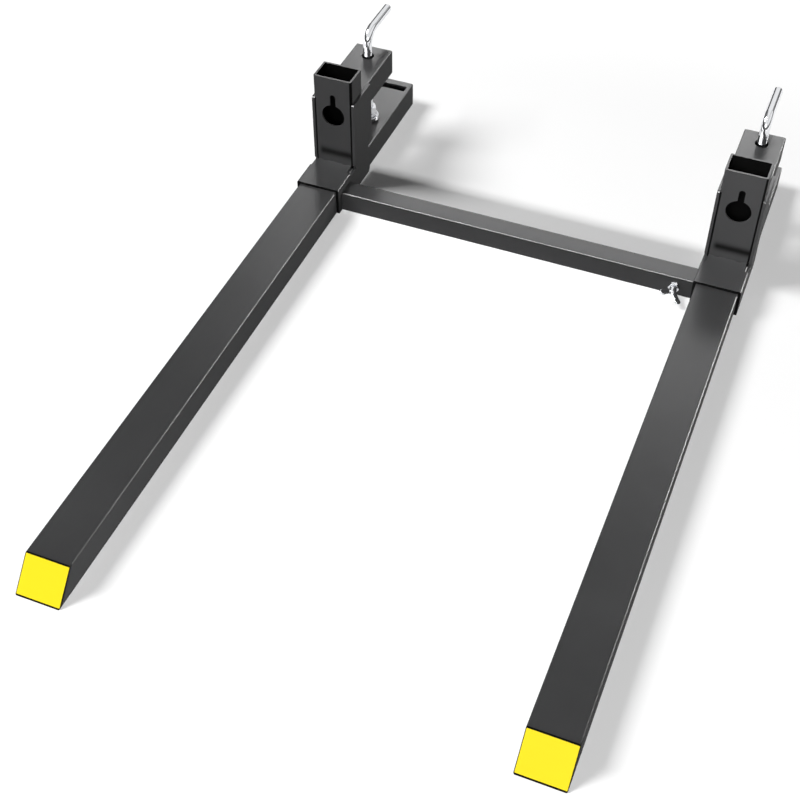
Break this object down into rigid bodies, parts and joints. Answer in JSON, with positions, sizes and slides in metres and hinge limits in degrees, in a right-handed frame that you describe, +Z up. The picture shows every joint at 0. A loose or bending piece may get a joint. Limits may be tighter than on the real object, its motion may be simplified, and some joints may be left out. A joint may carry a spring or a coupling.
{
  "type": "clamp-on pallet fork",
  "caption": "Pair of rectangular tube forks with screw clamps for a bucket lip, joined by a telescoping stabiliser bar",
  "frame": {"origin": "on the ground, midway between the two forks and midway along them", "axes": "+X from the left fork to the right fork, +Y from the tips to the clamps, +Z up"},
  "size_m": [0.68, 1.108, 0.2],
  "materials": {
    "black_paint": "semi-gloss",
    "yellow_paint": "satin",
    "zinc_plate": "bright zinc plating"
  },
  "bodies": {
    "left_fork": {"left_fork_tube": "black_paint", "left_tip_plate": "yellow_paint", "left_rear_end_plate": "black_paint", "left_bracket": "black_paint", "left_upright": "black_paint", "left_upper_arm": "black_paint", "left_arm_end_plate": "black_paint", "left_arm_nut": "zinc_plate", "outer_bar": "black_paint", "wing_boss_nut": "zinc_plate"},
    "right_fork": {"right_fork_tube": "black_paint", "right_tip_plate": "yellow_paint", "right_rear_end_plate": "black_paint", "right_bracket": "black_paint", "right_upright": "black_paint", "right_upper_arm": "black_paint", "right_arm_end_plate": "black_paint", "right_arm_nut": "zinc_plate", "inner_bar": "black_paint"},
    "left_foot": {"left_swivel_foot": "zinc_plate"},
    "left_screw": {"left_clamp_screw": "zinc_plate", "left_lock_nut": "zinc_plate"},
    "right_foot": {"right_swivel_foot": "zinc_plate"},
    "right_screw": {"right_clamp_screw": "zinc_plate", "right_lock_nut": "zinc_plate"},
    "wing_lock": {"wing_screw": "zinc_plate"}
  },
  "joints": [
    {"name": "fork_spread", "type": "slide", "parent": "left_fork", "child": "right_fork", "axis": [1, 0, 0], "range_m": [0, 0.23]},
    {"name": "left_clamp_travel", "type": "slide", "parent": "left_fork", "child": "left_foot", "axis": [0, 0, 1], "range_m": [0, 0.048]},
    {"name": "left_clamp_turn", "type": "hinge", "parent": "left_foot", "child": "left_screw", "pos_m": [-0.306, 0.437, 0.1], "axis": [0, 0, 1], "range_deg": [0, 8640]},
    {"name": "right_clamp_travel", "type": "slide", "parent": "right_fork", "child": "right_foot", "axis": [0, 0, 1], "range_m": [0, 0.048]},
    {"name": "right_clamp_turn", "type": "hinge", "parent": "right_foot", "child": "right_screw", "pos_m": [0.306, 0.437, 0.1], "axis": [0, 0, 1], "range_deg": [0, 8640]},
    {"name": "wing_screw_turn", "type": "hinge", "parent": "left_fork", "child": "wing_lock", "pos_m": [0.2457, 0.24, 0.016], "axis": [0, -1, 0], "range_deg": [0, 720]}
  ],
  "couplings": [
    {"joint": "left_clamp_travel", "follows": "left_clamp_turn", "m_per_rad": 0.00031831},
    {"joint": "right_clamp_travel", "follows": "right_clamp_turn", "m_per_rad": 0.00031831}
  ]
}
